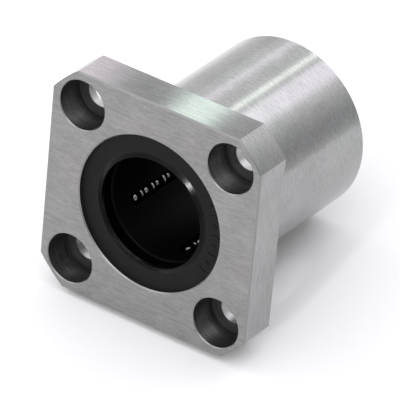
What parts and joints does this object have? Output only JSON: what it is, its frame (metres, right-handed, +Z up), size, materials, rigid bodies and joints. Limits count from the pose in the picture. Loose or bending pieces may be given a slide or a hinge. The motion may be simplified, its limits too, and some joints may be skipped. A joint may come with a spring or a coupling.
{
  "type": "linear ball bushing",
  "caption": "Linear ball bushing with a square flange, counterbored screw holes, recirculating ball circuits and wiper seals, for a 20 mm shaft.",
  "frame": {"origin": "on the bore axis, in the plane of the flange's seating face (the face that meets the housing)", "axes": "+Y along the bore axis from the flange towards the free end of the sleeve, +Z up, square to the flange's top side, +X to the right seen from the flange side"},
  "size_m": [0.0428, 0.042, 0.0428],
  "materials": {
    "sleeve_steel": "ground",
    "ball_steel": "polished",
    "retainer_plastic": "moulded satin",
    "seal_rubber": "moulded satin",
    "ring_steel": "spring steel, satin",
    "insert_steel": "pressed sheet"
  },
  "bodies": {
    "bushing": {"flanged_sleeve": "sleeve_steel", "ball_retainer": "retainer_plastic", "front_retaining_ring": "ring_steel", "rear_retaining_ring": "ring_steel", "front_seal": "seal_rubber", "rear_seal": "seal_rubber", "front_seal_insert": "insert_steel", "rear_seal_insert": "insert_steel"},
    "load_row_1": {"load_balls_1": "ball_steel"},
    "return_row_1": {"return_balls_1": "ball_steel"},
    "front_turn_1": {"front_turn_balls_1": "ball_steel"},
    "rear_turn_1": {"rear_turn_balls_1": "ball_steel"},
    "load_row_2": {"load_balls_2": "ball_steel"},
    "return_row_2": {"return_balls_2": "ball_steel"},
    "front_turn_2": {"front_turn_balls_2": "ball_steel"},
    "rear_turn_2": {"rear_turn_balls_2": "ball_steel"},
    "load_row_3": {"load_balls_3": "ball_steel"},
    "return_row_3": {"return_balls_3": "ball_steel"},
    "front_turn_3": {"front_turn_balls_3": "ball_steel"},
    "rear_turn_3": {"rear_turn_balls_3": "ball_steel"},
    "load_row_4": {"load_balls_4": "ball_steel"},
    "return_row_4": {"return_balls_4": "ball_steel"},
    "front_turn_4": {"front_turn_balls_4": "ball_steel"},
    "rear_turn_4": {"rear_turn_balls_4": "ball_steel"},
    "load_row_5": {"load_balls_5": "ball_steel"},
    "return_row_5": {"return_balls_5": "ball_steel"},
    "front_turn_5": {"front_turn_balls_5": "ball_steel"},
    "rear_turn_5": {"rear_turn_balls_5": "ball_steel"}
  },
  "joints": [
    {"name": "load_row_1_travel", "type": "slide", "parent": "bushing", "child": "load_row_1", "axis": [0, 1, 0], "range_m": [-0.00168, 0.00168]},
    {"name": "return_row_1_travel", "type": "slide", "parent": "bushing", "child": "return_row_1", "axis": [0, 1, 0], "range_m": [-0.00168, 0.00168]},
    {"name": "front_turn_1_roll", "type": "hinge", "parent": "bushing", "child": "front_turn_1", "pos_m": [0.00215, 0.00177, 0.01194], "axis": [0.1776, 0, 0.9841], "range_deg": [-30, 30]},
    {"name": "rear_turn_1_roll", "type": "hinge", "parent": "bushing", "child": "rear_turn_1", "pos_m": [0.00215, 0.02523, 0.01194], "axis": [0.1776, 0, 0.9841], "range_deg": [-30, 30]},
    {"name": "load_row_2_travel", "type": "slide", "parent": "bushing", "child": "load_row_2", "axis": [0, 1, 0], "range_m": [-0.00168, 0.00168]},
    {"name": "return_row_2_travel", "type": "slide", "parent": "bushing", "child": "return_row_2", "axis": [0, 1, 0], "range_m": [-0.00168, 0.00168]},
    {"name": "front_turn_2_roll", "type": "hinge", "parent": "bushing", "child": "front_turn_2", "pos_m": [-0.01069, 0.00177, 0.00574], "axis": [-0.8811, 0, 0.473], "range_deg": [-30, 30]},
    {"name": "rear_turn_2_roll", "type": "hinge", "parent": "bushing", "child": "rear_turn_2", "pos_m": [-0.01069, 0.02523, 0.00574], "axis": [-0.8811, 0, 0.473], "range_deg": [-30, 30]},
    {"name": "load_row_3_travel", "type": "slide", "parent": "bushing", "child": "load_row_3", "axis": [0, 1, 0], "range_m": [-0.00168, 0.00168]},
    {"name": "return_row_3_travel", "type": "slide", "parent": "bushing", "child": "return_row_3", "axis": [0, 1, 0], "range_m": [-0.00168, 0.00168]},
    {"name": "front_turn_3_roll", "type": "hinge", "parent": "bushing", "child": "front_turn_3", "pos_m": [-0.00876, 0.00177, -0.0084], "axis": [-0.7221, 0, -0.6918], "range_deg": [-30, 30]},
    {"name": "rear_turn_3_roll", "type": "hinge", "parent": "bushing", "child": "rear_turn_3", "pos_m": [-0.00876, 0.02523, -0.0084], "axis": [-0.7221, 0, -0.6918], "range_deg": [-30, 30]},
    {"name": "load_row_4_travel", "type": "slide", "parent": "bushing", "child": "load_row_4", "axis": [0, 1, 0], "range_m": [-0.00168, 0.00168]},
    {"name": "return_row_4_travel", "type": "slide", "parent": "bushing", "child": "return_row_4", "axis": [0, 1, 0], "range_m": [-0.00168, 0.00168]},
    {"name": "front_turn_4_roll", "type": "hinge", "parent": "bushing", "child": "front_turn_4", "pos_m": [0.00528, 0.00177, -0.01093], "axis": [0.4348, 0, -0.9005], "range_deg": [-30, 30]},
    {"name": "rear_turn_4_roll", "type": "hinge", "parent": "bushing", "child": "rear_turn_4", "pos_m": [0.00528, 0.02523, -0.01093], "axis": [0.4348, 0, -0.9005], "range_deg": [-30, 30]},
    {"name": "load_row_5_travel", "type": "slide", "parent": "bushing", "child": "load_row_5", "axis": [0, 1, 0], "range_m": [-0.00168, 0.00168]},
    {"name": "return_row_5_travel", "type": "slide", "parent": "bushing", "child": "return_row_5", "axis": [0, 1, 0], "range_m": [-0.00168, 0.00168]},
    {"name": "front_turn_5_roll", "type": "hinge", "parent": "bushing", "child": "front_turn_5", "pos_m": [0.01202, 0.00177, 0.00164], "axis": [0.9908, 0, 0.1352], "range_deg": [-30, 30]},
    {"name": "rear_turn_5_roll", "type": "hinge", "parent": "bushing", "child": "rear_turn_5", "pos_m": [0.01202, 0.02523, 0.00164], "axis": [0.9908, 0, 0.1352], "range_deg": [-30, 30]}
  ],
  "couplings": [
    {"joint": "return_row_1_travel", "follows": "load_row_1_travel", "ratio": -1},
    {"joint": "front_turn_1_roll", "follows": "load_row_1_travel", "rad_per_m": 312.5},
    {"joint": "rear_turn_1_roll", "follows": "load_row_1_travel", "rad_per_m": 312.5},
    {"joint": "return_row_2_travel", "follows": "load_row_2_travel", "ratio": -1},
    {"joint": "front_turn_2_roll", "follows": "load_row_2_travel", "rad_per_m": 312.5},
    {"joint": "rear_turn_2_roll", "follows": "load_row_2_travel", "rad_per_m": 312.5},
    {"joint": "return_row_3_travel", "follows": "load_row_3_travel", "ratio": -1},
    {"joint": "front_turn_3_roll", "follows": "load_row_3_travel", "rad_per_m": 312.5},
    {"joint": "rear_turn_3_roll", "follows": "load_row_3_travel", "rad_per_m": 312.5},
    {"joint": "return_row_4_travel", "follows": "load_row_4_travel", "ratio": -1},
    {"joint": "front_turn_4_roll", "follows": "load_row_4_travel", "rad_per_m": 312.5},
    {"joint": "rear_turn_4_roll", "follows": "load_row_4_travel", "rad_per_m": 312.5},
    {"joint": "return_row_5_travel", "follows": "load_row_5_travel", "ratio": -1},
    {"joint": "front_turn_5_roll", "follows": "load_row_5_travel", "rad_per_m": 312.5},
    {"joint": "rear_turn_5_roll", "follows": "load_row_5_travel", "rad_per_m": 312.5}
  ]
}
